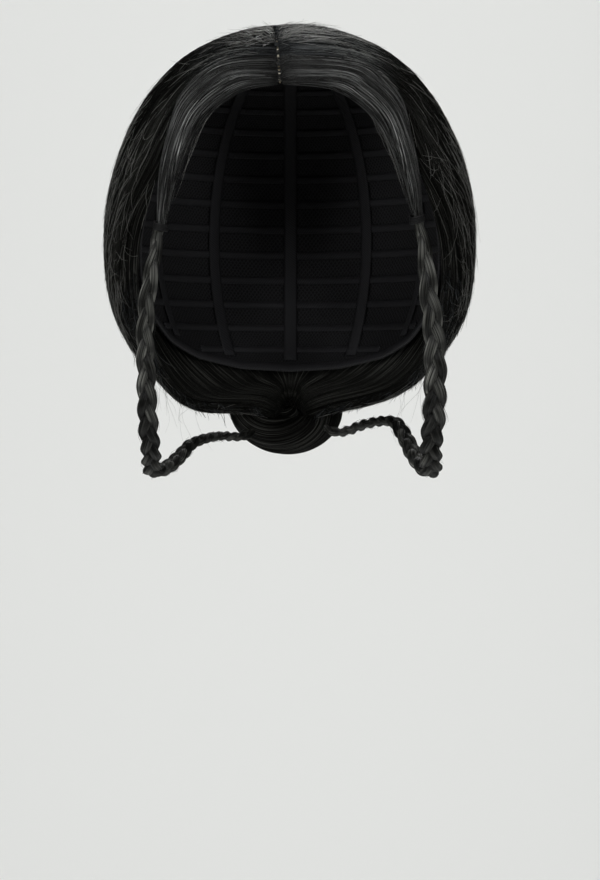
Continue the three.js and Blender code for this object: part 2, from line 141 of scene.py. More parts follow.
for name, (at, aim, size, watts) in SOFT_BOXES.items():
    bpy.ops.object.light_add(type="AREA", location=at)
    lamp = bpy.context.object
    lamp.name = name
    lamp.data.size = size
    lamp.data.energy = watts
    lamp.rotation_euler = (Vector(aim) - lamp.location).to_track_quat("-Z", "Y").to_euler()

world = bpy.data.worlds.new("studio_air")
world.use_nodes = True
air_tree = world.node_tree
air_light = air_tree.nodes["Background"]
set_inputs(air_tree, air_light, {"Color": to_linear(PAPER), "Strength": AIR_LIGHT})
air_seen = add_node(air_tree, "Background", {"Color": to_linear(PAPER), "Strength": AIR_SEEN})
air_rays = add_node(air_tree, "LightPath")
air_mix = add_node(air_tree, "MixShader", {0: air_rays, 1: air_light.outputs[0], 2: air_seen})
set_inputs(air_tree, air_tree.nodes["World Output"], {"Surface": air_mix})
bpy.context.scene.world = world


# Cap. A black stretch net, knitted in one piece and hemmed with a soft elastic, that the hair is
# sewn to. Rows of weft run round its inside, where the roots of the hair are caught by stitches,
# and elastic ribbons cross the rows to hold their spacing.

RIGHT, LEFT = -1, 1
CAP_HALF = np.array((76, 95, 96)) * MM
CAP_WALL = 1.5
CAP_SEGMENTS = 120
CAP_RINGS = 61
BALL_FOOT = -0.9999
RIM_AROUND = (0, 22, 36, 49, 56, 62, 69, 80, 96, 110, 128, 154, 180)
RIM_UP = (48, 47, 42, 38.5, 36, 22, 5, -9, -24, -33, -39, -43, -44)
NET_THREAD = "#202022"
NET_HOLE = "#070708"
NET_CELL = 1.7
NET_AROUND = 540
NET_DOWN = 200
WEFT_UPS = (-36, 80)
WEFT_STEP = 8
WEFT_CLEAR = 3.5
WEFT_LIFT = -0.5
WEFT_HALF = (1.9, 0.6)
WEFT_POINTS = 121
RIBBON_AROUNDS = (84, 280)
RIBBON_STEP = 32
RIBBON_TOP = 78
RIBBON_LIFT = -1.1
RIBBON_HALF = (3.5, 0.4)
RIBBON_POINTS = 49
HEM_RISE = 1.2
HEM_LIFT = 0.3
HEM_HALF = (2.4, 0.95)
HEM_POINTS = 361
TAPE_SIDES = 8
TAPE_DARK = "#09090a"
TAPE_THREAD = "#2c2c2f"
STITCH_SPACING = 0.8
STITCH_SLANT = 0.5


def together(*parts):
    """The parts, brought to one shape, side by side on a last axis."""
    return np.stack(np.broadcast_arrays(*parts), axis=-1)


def strides(paths):
    return np.linalg.norm(np.diff(paths, axis=-2), axis=-1)


def added_up(steps):
    """Sums of the steps so far, from 0."""
    return np.concatenate((np.zeros((*steps.shape[:-1], 1)), np.cumsum(steps, axis=-1)), axis=-1)


def ring_angles(sides):
    return 2 * np.pi * np.arange(sides) / sides


def direction(side, around, up):
    around, up = np.radians(around), np.radians(up)
    return together(side * np.sin(around) * np.cos(up), -np.cos(around) * np.cos(up), np.sin(up))


def unit(vectors):
    return vectors / np.linalg.norm(vectors, axis=-1, keepdims=True)


def over_cap(heading, lift):
    """Points above the cap's inside, whose top is the origin."""
    on_cap = CAP_HALF * heading - (0, 0, CAP_HALF[2])
    return on_cap + MM * np.asarray(lift)[..., None] * unit(heading / CAP_HALF)


def rim_up(around):
    return np.interp(np.abs((np.asarray(around) + 180) % 360 - 180), RIM_AROUND, RIM_UP)


def tube_rings(paths, outward, half_wide, half_deep, sides, turn=0.0):
    forward = unit(np.gradient(paths, axis=-2))
    across = unit(np.cross(np.broadcast_to(outward, paths.shape), forward))
    face = np.cross(forward, across)
    angle = ring_angles(sides) + np.asarray(turn)[..., None]
    wide = np.asarray(half_wide)[..., None] * np.cos(angle)
    deep = np.asarray(half_deep)[..., None] * np.sin(angle)
    return (paths[..., None, :] + wide[..., None] * across[..., None, :]
            + deep[..., None] * face[..., None, :])


def tube_faces(tubes, steps, sides):
    first = np.arange(tubes)[:, None, None] * steps * sides
    ring = np.arange(steps - 1)[None, :, None] * sides
    k = np.arange(sides)
    a = first + ring + k
    b = first + ring + (k + 1) % sides
    walls = np.stack((a, b, b + sides, a + sides), axis=-1).reshape(-1, 4)
    start = first[..., 0] + k[::-1]
    end = first[..., 0] + (steps - 1) * sides + k
    return walls.tolist() + start.tolist() + end.tolist()


def add_tubes(name, rings, uv, material):
    """Tubes with closed ends, one through each set of rings, mapped by the flow along them."""
    rings = rings.reshape(-1, *rings.shape[-3:])
    mesh = bpy.data.meshes.new(name)
    mesh.from_pydata(rings.reshape(-1, 3).tolist(), [], tube_faces(*rings.shape[:3]))
    corners = np.empty(len(mesh.loops), dtype=np.int32)
    mesh.loops.foreach_get("vertex_index", corners)
    flow = mesh.uv_layers.new(name="flow")
    flow.data.foreach_set("uv", uv.reshape(-1, 2)[corners].astype(np.float32).ravel())
    mesh.materials.append(material)
    mesh.shade_smooth()
    piece = bpy.data.objects.new(name, mesh)
    bpy.context.scene.collection.objects.link(piece)
    return piece


def cloth_looks(tree, shader, tone, height, colours, bump, roughness, specular):
    """Two colours mixed by a pattern's tone, and a relief from its height: how strong, how deep in mm."""
    dark, light = colours
    strength, depth = bump
    colour = add_node(tree, "Mix", {
        0: tone, 6: to_linear(dark), 7: to_linear(light),
    }, 2, data_type="RGBA")
    raised = add_node(tree, "Bump", {"Height": height, "Strength": strength, "Distance": depth * MM})
    set_inputs(tree, shader, {
        "Base Color": colour, "Normal": raised, "Roughness": roughness, "Specular IOR Level": specular,
    })


bpy.ops.object.select_all(action="DESELECT")
bpy.ops.mesh.primitive_uv_sphere_add(segments=CAP_SEGMENTS, ring_count=CAP_RINGS, radius=1)
cap = bpy.context.object
cap.name = "net_cap"
bpy.ops.object.mode_set(mode="EDIT")
bpy.ops.mesh.select_mode(type="VERT")
bpy.ops.mesh.select_all(action="DESELECT")
bpy.ops.object.mode_set(mode="OBJECT")
for vertex in cap.data.vertices:
    vertex.select = vertex.co.z < BALL_FOOT
bpy.ops.object.mode_set(mode="EDIT")
bpy.ops.mesh.delete(type="VERT")
bpy.ops.object.mode_set(mode="OBJECT")
ball = np.array([vertex.co for vertex in cap.data.vertices])
ball_around = np.degrees(np.arctan2(ball[:, 0], -ball[:, 1]))
ball_up = np.degrees(np.arcsin(np.clip(ball[:, 2], -1, 1)))
down_share = (90 - ball_up) / (90 - ball_up.min())
cap_up = 90 + down_share * (rim_up(ball_around) - 90)
cap_points = over_cap(direction(LEFT, ball_around, cap_up), np.zeros(len(ball)))
cap.data.vertices.foreach_set("co", cap_points.ravel())
bpy.ops.object.mode_set(mode="EDIT")
bpy.ops.mesh.select_all(action="SELECT")
bpy.ops.mesh.normals_make_consistent(inside=False)
bpy.ops.object.mode_set(mode="OBJECT")
wall = cap.modifiers.new("wall", "SOLIDIFY")
wall.thickness = CAP_WALL * MM
wall.offset = 1
bpy.ops.object.modifier_apply(modifier="wall")
bpy.ops.object.shade_smooth()

# Knitted polyester net: dull, with open diamonds that show the dark behind them. Its cells are drawn
# a little larger than the real millimetre, so that they show.
net, net_tree, net_shader = new_material("stretch_net")
net_place = add_node(net_tree, "UVMap", uv_map="UVMap")
net_turned = add_node(net_tree, "Mapping", {
    "Vector": net_place, "Rotation": (0, 0, math.pi / 4),
    "Scale": (NET_AROUND / NET_CELL, NET_DOWN / NET_CELL, 1),
})
net_cells = add_node(net_tree, "TexVoronoi", {
    "Vector": net_turned, "Scale": 1.0, "Randomness": 0.25,
}, voronoi_dimensions="2D", feature="DISTANCE_TO_EDGE")
net_thread = add_node(net_tree, "MapRange", {
    "Value": net_cells, "From Min": 0.08, "From Max": 0.24, "To Min": 1.0, "To Max": 0.0,
})
cloth_looks(net_tree, net_shader, net_thread, net_thread, (NET_HOLE, NET_THREAD), bump=(0.6, 0.3),
            roughness=0.85, specular=0.2)
cap.data.materials.append(net)
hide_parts("cap")

# Weft tape: folded polyester over the hair roots, with a slanting overlock stitch of paler thread.
tape, tape_tree, tape_shader = new_material("overlocked_weft_tape")
tape_flow = add_node(tape_tree, "UVMap", uv_map="flow")
tape_slant = add_node(tape_tree, "Mapping", {"Vector": tape_flow, "Rotation": (0, 0, STITCH_SLANT)})
tape_stitch = add_node(tape_tree, "TexWave", {
    "Vector": tape_slant, "Scale": math.pi / 10 / STITCH_SPACING, "Distortion": 0.6, "Detail": 1.0,
}, "Fac")
cloth_looks(tape_tree, tape_shader, tape_stitch, tape_stitch, (TAPE_DARK, TAPE_THREAD), bump=(0.7, 0.3),
            roughness=0.7, specular=0.25)


def tape_mesh(name, around, up, lift, half_height, half_thick):
    """Bands that run round the inside of the cap, one for each row of bearings."""
    heading = direction(LEFT, around, up)
    paths = over_cap(heading, np.full(heading.shape[:-1], lift))
    size = np.ones(paths.shape[:-1]) * MM
    rings = tube_rings(paths, unit(heading / CAP_HALF), half_height * size, half_thick * size, TAPE_SIDES)
    run = added_up(strides(paths) / MM)
    across = half_height * np.cos(ring_angles(TAPE_SIDES))
    return add_tubes(name, rings, together(run[..., None], across), tape)


weft_up = np.arange(*WEFT_UPS, WEFT_STEP)
around_fine = np.linspace(0, 180, 721)
weft_start = np.array([around_fine[rim_up(around_fine) < up - WEFT_CLEAR][0] for up in weft_up])
weft_share = np.linspace(0, 1, WEFT_POINTS)
weft_around = weft_start[:, None] + (360 - 2 * weft_start[:, None]) * weft_share
wefts = tape_mesh("weft_rows", weft_around, weft_up[:, None] + 0 * weft_around, WEFT_LIFT, *WEFT_HALF)
hem_around = np.linspace(0, 360, HEM_POINTS)[None, :]
hem = tape_mesh("cap_hem", hem_around, rim_up(hem_around) + HEM_RISE, HEM_LIFT, *HEM_HALF)
ribbon_around = np.arange(*RIBBON_AROUNDS, RIBBON_STEP)[:, None]
ribbon_foot = rim_up(ribbon_around) + WEFT_CLEAR
ribbon_up = ribbon_foot + (RIBBON_TOP - ribbon_foot) * np.linspace(0, 1, RIBBON_POINTS)
ribbons = tape_mesh("cap_ribbons", ribbon_around + 0 * ribbon_up, ribbon_up, RIBBON_LIFT, *RIBBON_HALF)
for piece in (cap, wefts, hem, ribbons):
    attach(piece, "root")


# Parting. A strip of pale skin-coloured fabric on the cap, with the roots of the hair drawn up
# through it on both sides. It shows as a thin broken line between them.

PART_FRONT = (4.5, 43.8)
PART_CROWN = (168, 67)
SKIN_LIGHT = "#dcd6c4"
SKIN_ROOT = "#6b6048"
ROOT_SPACING = 1.6
STRIP_REACH = (0.025, 0.98)
STRIP_LIFT = 2.7
STRIP_HALF_WIDTH = 1.4
STRIP_HALF_DEPTH = 0.6
STRIP_POINTS = 60
STRIP_SIDES = 12

# Skin-top fabric: pale and dull, speckled darker where the roots come through.
skin, skin_tree, skin_shader = new_material("skin_top_fabric")
skin_place = add_node(skin_tree, "TexCoord", {}, "Object")
skin_roots = add_node(skin_tree, "TexNoise", {
    "Vector": skin_place, "Scale": 1 / (ROOT_SPACING * MM), "Detail": 3.0,
})
skin_ramp = add_node(skin_tree, "MapRange", {"Value": skin_roots, "From Min": 0.42, "From Max": 0.56})
cloth_looks(skin_tree, skin_shader, skin_ramp, skin_roots, (SKIN_ROOT, SKIN_LIGHT), bump=(0.4, 0.2),
            roughness=0.7, specular=0.5)


def slerp(start, end, share):
    angle = np.arccos(np.clip(np.sum(start * end, axis=-1, keepdims=True), -1, 1))
    share = np.asarray(share)[..., None]
    return (np.sin((1 - share) * angle) * start + np.sin(share * angle) * end) / np.sin(angle)


def part_direction(share):
    return slerp(direction(RIGHT, *PART_FRONT), direction(RIGHT, *PART_CROWN), share)


strip_line = over_cap(part_direction(np.linspace(*STRIP_REACH, STRIP_POINTS)), STRIP_LIFT)
strip_half = np.full(STRIP_POINTS, MM)
strip_rings = tube_rings(strip_line, np.array((1.0, 0, 0)), STRIP_HALF_WIDTH * strip_half,
                         STRIP_HALF_DEPTH * strip_half, STRIP_SIDES)
strip = add_tubes("part_strip", strip_rings, np.zeros((*strip_rings.shape[:2], 2)), skin)
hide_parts("parting")
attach(strip, "root")


# Side hair. Straight synthetic fibre, sewn to the cap in rows and drawn from the parting over the
# sides to the nape. It lies in locks a few millimetres wide, with finer strands drawn out on them.

SIDE_NAME = {RIGHT: "right", LEFT: "left"}
LOCK_SHARE = 0.19
ROOT_CLEAR = (0.9, 0.7, -1.2)
ROOT_LIFTS = (4.6, 7.6, 9.6)
ROOT_COLUMNS = ("front_around", "front_up", "back_around", "back_up", "lift", "mid_lift", "back_lift")
HAIR_BASE = 3.2
SIDE_COLUMNS = ("front_around", "front_up", "left_rise", "back_around", "back_up",
                "base", "back_base", "lift", "mid_lift", "back_lift")
SIDE_SECTIONS = (
    (33.4, 49.1, 0, 155, 57, 3.1, 3.1, 12, 9.8, 12),
    (50.9, 36.3, 0, 159, 36, 3.1, 3.1, 12.4, 13.7, 14.5),
    (56.6, 15, 0, 165, 15, 3.1, 3.1, 14, 15.8, 15.5),
    (68, -3, 0, 171, -4, 3.1, 3.1, 17, 17.2, 15),
    (82, -19, 1, 175, -18, 3.3, 3.1, 19.5, 19, 15),
    (102, -36, 4, 177.5, -29, 8, 3.5, 20, 20, 16),
    (131, -46, 5, 178.5, -36, 18, 8, 29, 25, 20),
    (165, -43.5, 0, 179, -40, 26, 16, 38.5, 31, 26),
    (175, -42, 0, 179.5, -38, 36, 32, 44, 42, 38),
)
# The sheet's width, thickness and length in mm, and its steps across, across the underside and down.
SIDE_SIZE = (240, 14, 260)
SIDE_GRID = (480, 60, 70)
SIDE_SWEEP = 0.12
SWEEP_REACH = (0.08, 0.42)
SIDE_EDGE = 0.95
SIDE_THINNING = 0.93
SIDE_THINS = (0.16, 0.36)
SEAM_EDGE = 0.97
SIDE_SEED = 100
SIDE_STRANDS = 1600
EDGE_STRANDS = 260
EDGE_REACH = (0.003, 0.06)
EDGE_STARTS = (0.36, 0.85)
EDGE_FADE = 6
EDGE_POWER = 5
SHEET_ENDS = (0.002, 0.998)
FINE_STEPS = 4001
ROOT_CROWDING = 1.15
LATTICE = 64
LOCK_WIDTHS = (2.5, 7.0)
LOCK_DEPTH = 0.6
STRAND_WIDTHS = (0.8, 1.9)
STRAND_DEPTH = 0.18
CREASES = 400
CREASE_START = 20
WANDER_LENGTH = 70
SWELL = 0.5
SWELL_SPAN = (14, 60)
HAIR_SIDES = 3
OFF_FLOW = (0.31, 0.54, 0.78)
STRAND_RADIUS = (0.05, 0.11)
DRAWN_STEPS = 12
DRAWN_RUNS = (0.2, 0.55)
DRAWN_LEANS = (0.006, 0.045)
DRAWN_ODDS = (0.6, 0.4)
LEAN_RUN = 0.4
# Painted shade and light: fades of the pale strands, from and to in mm along the hair, and their strength
# before and after. Shade is painted near the roots and over the shoulders, and light lower down the sides.
ROOT_SHADE = (3, 24, 0.25, 1.0)
SHOULDER_SHADE = (26, 58, 1.0, 0.22)
LOWER_LIGHT = (80, 125, 1.0, 2.4)
# A painted cooler sheen near the roots of the crown, fading out between these mm.
CROWN_SHEEN = (12, 55)
FIBRE_DARK = "#030302"
# Pale strands, painted as highlights on the near black fibre.
FIBRE_PAINTED_HIGHLIGHT = "#b4b5ad"
# The colour of the crown's painted sheen.
PAINTED_CROWN_SHEEN = "#acb3ba"
# Width and length in mm of the patterns in the fibre. A hair is drawn coarser than the real 0.07 mm.
FIBRE_PATTERNS = {"lock": (6.0, 90), "strand": (0.75, 50), "hair": (0.35, 40)}


def along(values, share):
    """A smooth curve through the values, followed from the first at 0 to the last at 1."""
    last = len(values) - 1
    place = np.clip(np.asarray(share) * last, 0, last - 1e-9)
    row = place.astype(int)
    f = place - row
    a, b, c, d = (values[np.clip(row + k, 0, last)] for k in (-1, 0, 1, 2))
    slope_in, slope_out = (c - a) / 2, (d - b) / 2
    square = 3 * (c - b) - 2 * slope_in - slope_out
    cube = 2 * (b - c) + slope_in + slope_out
    return b + f * (slope_in + f * (square + f * cube))


def root_bearings(side, front_share, back_share):
    share = np.array((front_share, back_share))
    heading = part_direction(share)
    heading[:, 0] += side * np.interp(share, (0, LOCK_SHARE, 1), ROOT_CLEAR) * MM / CAP_HALF[0]
    heading = unit(heading)
    around = np.degrees(np.arctan2(side * heading[:, 0], -heading[:, 1]))
    around = np.where(around < -90, around + 360, around)
    up = np.degrees(np.arcsin(heading[:, 2]))
    return around[0], up[0], around[1], up[1]


def smooth_step(low, high, value):
    f = np.clip((value - low) / (high - low), 0, 1)
    return f * f * (3 - 2 * f)


def drift(x, y, seed):
    """Smooth random hills between -1 and 1, one cell of the lattice a unit wide."""
    lattice = np.random.default_rng(seed).uniform(-1, 1, (LATTICE, LATTICE))
    column, row = np.floor(x).astype(int), np.floor(y).astype(int)
    fx, fy = smooth_step(0, 1, x - column), smooth_step(0, 1, y - row)

    def corner(i, j):
        return lattice[(column + i) % LATTICE, (row + j) % LATTICE]

    near = corner(0, 0) + fx * (corner(1, 0) - corner(0, 0))
    far = corner(0, 1) + fx * (corner(1, 1) - corner(0, 1))
    return near + fy * (far - near)


def bundles(across, down, widths, seed):
    """How deep a point lies between bundles of hair: 0 on a bundle's top, 1 in the crease beside it."""
    draw = np.random.default_rng(seed)
    creases = np.cumsum(draw.uniform(*widths, CREASES)) - CREASE_START
    widest = widths[1]
    wander = across + 0.7 * widest * drift(across / (4 * widest), down / WANDER_LENGTH, seed + 1)
    left = np.clip(np.searchsorted(creases, wander), 1, len(creases) - 1)
    f = (wander - creases[left - 1]) / (creases[left] - creases[left - 1])
    return 1 - np.sqrt(np.clip(np.sin(np.pi * f), 0, 1))


def relief(across, down, seed):
    """Height in mm of the hair's surface: locks, finer strands on them and a slow swell."""
    locks = bundles(across, down, LOCK_WIDTHS, seed)
    strands = bundles(across, down, STRAND_WIDTHS, seed + 10)
    swell = SWELL * drift(across / SWELL_SPAN[0], down / SWELL_SPAN[1], seed + 20)
    return swell - LOCK_DEPTH * locks - STRAND_DEPTH * strands


def edge_round(s, front_edge, back_edge):
    middle = 2 * s - 1
    least = np.where(middle < 0, front_edge, back_edge)
    return least + (1 - least) * np.sqrt(np.clip(1 - np.abs(middle) ** EDGE_POWER, 0, 1))


def hair_sheet(section, edges, side, size, seed, sweep=0.0, groove=1.0):
    """A sheet of hair, with q across it at an even pace and t down it: its girth and length, and functions
    that place points on it, tell how wide it is there beside its widest, and follow a strand that
    sweeps back."""
    width, depth, length = size
    even = np.linspace(0, 1, FINE_STEPS)
    s_fine = even ** 3 * (10 - 15 * even + 6 * even ** 2)
    wall = depth * edge_round(s_fine, *edges(np.array(0.5)))
    pace = added_up(np.hypot(width * np.diff(s_fine), np.diff(wall)))
    girth = pace[-1]
    front_fine, back_fine, _ = section(even)
    wide_fine = np.arccos(np.clip(np.sum(front_fine * back_fine, axis=-1), -1, 1))

    def spread(t):
        return np.interp(t, even, np.clip(wide_fine / wide_fine.max(), 0.03, 1))

    def swept(t):
        return sweep * smooth_step(*SWEEP_REACH, t)

    def lie(q, t):
        """The strand, counted at the root, that lies at q."""
        return (q - swept(t)) / (1 - swept(t))

    def comb(strand, t):
        """Where across the sheet that strand has come to."""
        return np.clip(strand + swept(t) * (1 - strand), *SHEET_ENDS)

    def smooth(q, t, under):
        s = np.interp(q, pace / girth, s_fine)
        front, back, at = section(t)
        bottom = at["base"] + s * (at["back_base"] - at["base"])
        top = (at["lift"] * (1 - s) * (1 - 2 * s) + at["mid_lift"] * 4 * s * (1 - s)
               + at["back_lift"] * s * (2 * s - 1))
        height = 0 if under else (top - bottom) * edge_round(s, *edges(t))
        return over_cap(slerp(front, back, s), bottom + height)

    def place(q, t, rise=0.0, under=False):
        q, t = np.broadcast_arrays(np.asarray(q, float), np.asarray(t, float))
        nudge = 1e-3
        across = smooth(np.clip(q + nudge, 0, 1), t, under) - smooth(np.clip(q - nudge, 0, 1), t, under)
        down = smooth(q, np.clip(t + nudge, 0, 1), under) - smooth(q, np.clip(t - nudge, 0, 1), under)
        outward = (side if under else -side) * unit(np.cross(across, down))
        ridges = groove * relief(lie(q, t) * girth, t * length, seed) * spread(t) ** 0.6
        fade = smooth_step(0, EDGE_FADE / girth, q) * smooth_step(0, EDGE_FADE / girth, 1 - q)
        return smooth(q, t, under) + MM * (rise + ridges * fade)[..., None] * outward
    return {"place": place, "spread": spread, "lie": lie, "comb": comb, "girth": girth, "length": length}


def with_roots(table, side, front_share, back_share, lifts):
    """The table of sections with a row put first for the roots along the parting."""
    roots = dict(zip(ROOT_COLUMNS, (*root_bearings(side, front_share, back_share), *lifts)))
    roots |= {"base": HAIR_BASE, "back_base": HAIR_BASE}
    return {name: np.concatenate(([root], table[name])) for name, root in roots.items()}


def side_table(side):
    table = dict(zip(SIDE_COLUMNS, np.array(SIDE_SECTIONS, float).T))
    table["front_up"] = table["front_up"] + (side == LEFT) * table["left_rise"]
    return with_roots(table, side, LOCK_SHARE, 1, ROOT_LIFTS)


def table_section(table, side):
    def section(t):
        at = {name: along(values, t) for name, values in table.items()}
        front = direction(side, at["front_around"], at["front_up"])
        back = direction(side, at["back_around"], at["back_up"])
        return front, back, at
    return section


def side_edges(t):
    """The share of the thickness that is left at the front edge and at the back edge."""
    return SIDE_EDGE - SIDE_THINNING * smooth_step(*SIDE_THINS, t), SEAM_EDGE + 0 * t


def sheet_mesh(name, sheet, side, grid, material, narrowing=0.0):
    place = sheet["place"]
    across, under, down = grid
    t = np.linspace(0, 1, down + 1)[:, None] ** ROOT_CROWDING
    q_over = np.linspace(0, 1, across + 1)[None, :]
    q_under = np.linspace(1, 0, under + 1)[None, :]
    ring = np.concatenate((place(q_over, t), place(q_under, t, under=True)), axis=1)
    q_ring = np.concatenate((q_over, q_under), axis=1)
    u = (sheet["lie"](q_ring, t) - 0.5) * sheet["girth"] * sheet["spread"](t) ** narrowing
    uv = together(u, t * sheet["length"])
    if side == LEFT:
        ring, uv = ring[:, ::-1], uv[:, ::-1]
    return add_tubes(name, ring, uv, material)


def hair_mesh(name, paths, radius, across, down, material):
    """Fine closed hairs that taper to both ends."""
    taper = np.sin(np.pi * np.linspace(0.04, 0.96, paths.shape[1])) ** 0.5
    thick = MM * np.asarray(radius)[:, None] * taper
    rings = tube_rings(paths, unit(np.array(OFF_FLOW)), thick, thick, HAIR_SIDES)
    u = np.asarray(across)[:, None, None] + 0.3 * np.cos(ring_angles(HAIR_SIDES))
    return add_tubes(name, rings, together(u, np.asarray(down)[:, :, None]), material)


def drawn_hairs(name, sheet, count, seed, material, reach=(0.03, 0.985), starts=(-0.35, 0.75), swept=True):
    """Strands drawn out on a sheet. Most keep close to its flow, and the others lean across it."""
    draw = np.random.default_rng(seed)
    q0 = draw.uniform(*reach, count)[:, None]
    t0 = np.clip(draw.uniform(*starts, count), 0.0, 1)[:, None]
    t1 = np.clip(t0 + draw.uniform(*DRAWN_RUNS, count)[:, None], 0, 0.995)
    t = t0 + (t1 - t0) * np.linspace(0, 1, DRAWN_STEPS)
    loose_share = draw.choice(DRAWN_LEANS, count, p=DRAWN_ODDS)
    lean = (loose_share * draw.normal(0, 1, count))[:, None] * (t - t0) / LEAN_RUN
    sway = 0.004 * drift(q0 * 90 + 0 * t, t * 6, seed + 1)
    if swept:
        q = sheet["comb"](sheet["lie"](q0, t0) + lean + sway, t)
    else:
        q = np.clip(q0 + lean + sway, *SHEET_ENDS)
    rise = draw.uniform(0, 0.5, count)[:, None] + 0 * t
    radius = draw.uniform(*STRAND_RADIUS, count)
    shade = draw.uniform(0, sheet["girth"], count)
    return hair_mesh(name, sheet["place"](q, t, rise), radius, shade, t * sheet["length"], material)


def fibre_material(name, pale, streaks, satin, least_band, gloss_level, fades, crown=0.0, painted_crest_every=None):
    """Fibre along the flow: near black, with paler strands and finer lines that show as streaks, painted as
    highlights. The fades paint shade and light along the hair, the plaited fibre gets highlights painted on
    the crests of its strands, and the crown a painted cooler sheen near the roots. A mass of fine round
    fibres has no mirror at its rim, so the gloss spreads out where the surface turns away."""
    material, tree, shader = new_material(name)
    flow = add_node(tree, "UVMap", uv_map="flow")
    noise = {}
    for pattern, (wide, long) in FIBRE_PATTERNS.items():
        scale = (1 / wide, 1 / long, 1)
        stretched = add_node(tree, "Mapping", {"Vector": flow, "Scale": scale})
        noise[pattern] = add_node(tree, "TexNoise", {"Vector": stretched, "Scale": 1.0, "Detail": 2.0})
    height = add_node(tree, "Math", {0: noise["hair"], 1: noise["strand"]}, operation="ADD")
    streak = add_node(tree, "MapRange", {
        "Value": height, "From Min": 2 * streaks[0], "From Max": 2 * streaks[1], "To Min": satin,
    })
    thin = add_node(tree, "Math", {0: streak, 1: 2.0}, operation="POWER")
    band = add_node(tree, "MapRange", {
        "Value": noise["lock"], "From Min": 0.38, "From Max": 0.62, "To Min": least_band,
    })
    run = add_node(tree, "SeparateXYZ", {"Vector": flow}, "Y")
    weights = []
    # Painted highlights on the crests of plaited strands, and painted shade where they turn under.
    if painted_crest_every:
        turn = add_node(tree, "Math", {0: run, 1: 2 * math.pi / painted_crest_every}, operation="MULTIPLY")
        wave = add_node(tree, "Math", {0: turn}, operation="SINE")
        swell = add_node(tree, "Math", {0: wave}, operation="ABSOLUTE")
        weights.append(add_node(tree, "MapRange", {
            "Value": swell, "From Min": 0.35, "From Max": 1.0, "To Min": 0.3,
        }))
    # Painted shade and light along the hair.
    for near, far, first, last in fades:
        weights.append(add_node(tree, "MapRange", {
            "Value": run, "From Min": near, "From Max": far, "To Min": first, "To Max": last,
        }))
    for weight in weights:
        band = add_node(tree, "Math", {0: band, 1: weight}, operation="MULTIPLY")
    shade = add_node(tree, "Math", {0: thin, 1: band}, operation="MULTIPLY")
    colour = add_node(tree, "Mix", {
        0: shade, 6: to_linear(FIBRE_DARK), 7: to_linear(pale),
    }, 2, data_type="RGBA")
    # Painted sheen: a cooler colour mixed in near the roots.
    if crown:
        near, far = CROWN_SHEEN
        fading = add_node(tree, "MapRange", {
            "Value": run, "From Min": near, "From Max": far, "To Min": crown, "To Max": 0.0,
        })
        sheen = add_node(tree, "Math", {0: streak, 1: fading}, operation="MULTIPLY")
        colour = add_node(tree, "Mix", {
            0: sheen, 6: colour, 7: to_linear(PAINTED_CROWN_SHEEN),
        }, 2, data_type="RGBA")
    gloss = add_node(tree, "MapRange", {
        "Value": noise["lock"], "From Min": 0.3, "From Max": 0.7, "To Min": 0.4, "To Max": 0.26,
    })
    turned = add_node(tree, "LayerWeight", {"Blend": 0.5}, "Facing")
    rim = add_node(tree, "MapRange", {"Value": turned, "From Min": 0.35, "From Max": 0.8})
    rough = add_node(tree, "Mix", {0: rim, 2: gloss, 3: 1.0}, data_type="FLOAT")
    bump = add_node(tree, "Bump", {"Height": height, "Strength": 0.8, "Distance": 0.7 * MM})
    across = add_node(tree, "Tangent", direction_type="UV_MAP", uv_map="flow")
    set_inputs(tree, shader, {
        "Base Color": colour, "Roughness": rough, "Normal": bump, "Tangent": across,
        "Anisotropic": 0.88, "Specular IOR Level": gloss_level, "IOR": 1.55,
    })
    return material


# Heat-set polyester fibre: a deep black with few pale strands painted as highlights, painted shade near the
# roots and over the shoulders, painted light lower down, a painted cooler sheen at the crown, and a gloss
# that stretches across the flow.
fibre = fibre_material("heat_set_polyester_fibre_painted_light", FIBRE_PAINTED_HIGHLIGHT, streaks=(0.475, 0.65), satin=0.0,
                       least_band=0.06, gloss_level=0.035,
                       fades=(ROOT_SHADE, SHOULDER_SHADE, LOWER_LIGHT), crown=0.25)

side_sheets = {}
for side, name in SIDE_NAME.items():
    seed = SIDE_SEED + side
    section = table_section(side_table(side), side)
    sheet = hair_sheet(section, side_edges, side, SIDE_SIZE, seed, sweep=SIDE_SWEEP)
    side_sheets[side] = sheet
    body = sheet_mesh(f"side_body_{name}", sheet, side, SIDE_GRID, fibre)
    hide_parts(f"side_hair_{name}")
    strands = drawn_hairs(f"side_strands_{name}", sheet, SIDE_STRANDS, seed + 50, fibre)
    edge = drawn_hairs(f"edge_strands_{name}", sheet, EDGE_STRANDS, seed + 60, fibre,
                       reach=EDGE_REACH, starts=EDGE_STARTS, swept=False)
    for piece in (body, strands, edge):
        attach(piece, "root")


# Back hair. The same fibre, sewn to the cap at the crown and drawn down between the two sides,
# where it narrows to the knot.

BACK_SIZE = (60, 12, 200)
BACK_GRID = (160, 30, 60)
BACK_START = 0.02
BACK_SPAN = 0.94
BACK_STRANDS = 320
BACK_SEED = 300
right_section = table_section(side_table(RIGHT), RIGHT)
left_section = table_section(side_table(LEFT), LEFT)


def back_section(t):
    t = BACK_START + BACK_SPAN * t
    _, right_edge, at = right_section(t)
    _, left_edge, _ = left_section(t)
    heights = {"base": at["back_base"], "back_base": at["back_base"], "lift": at["back_lift"],
               "mid_lift": at["back_lift"], "back_lift": at["back_lift"]}
    return right_edge, left_edge, heights


def back_edges(t):
    return SEAM_EDGE + 0 * t, SEAM_EDGE + 0 * t


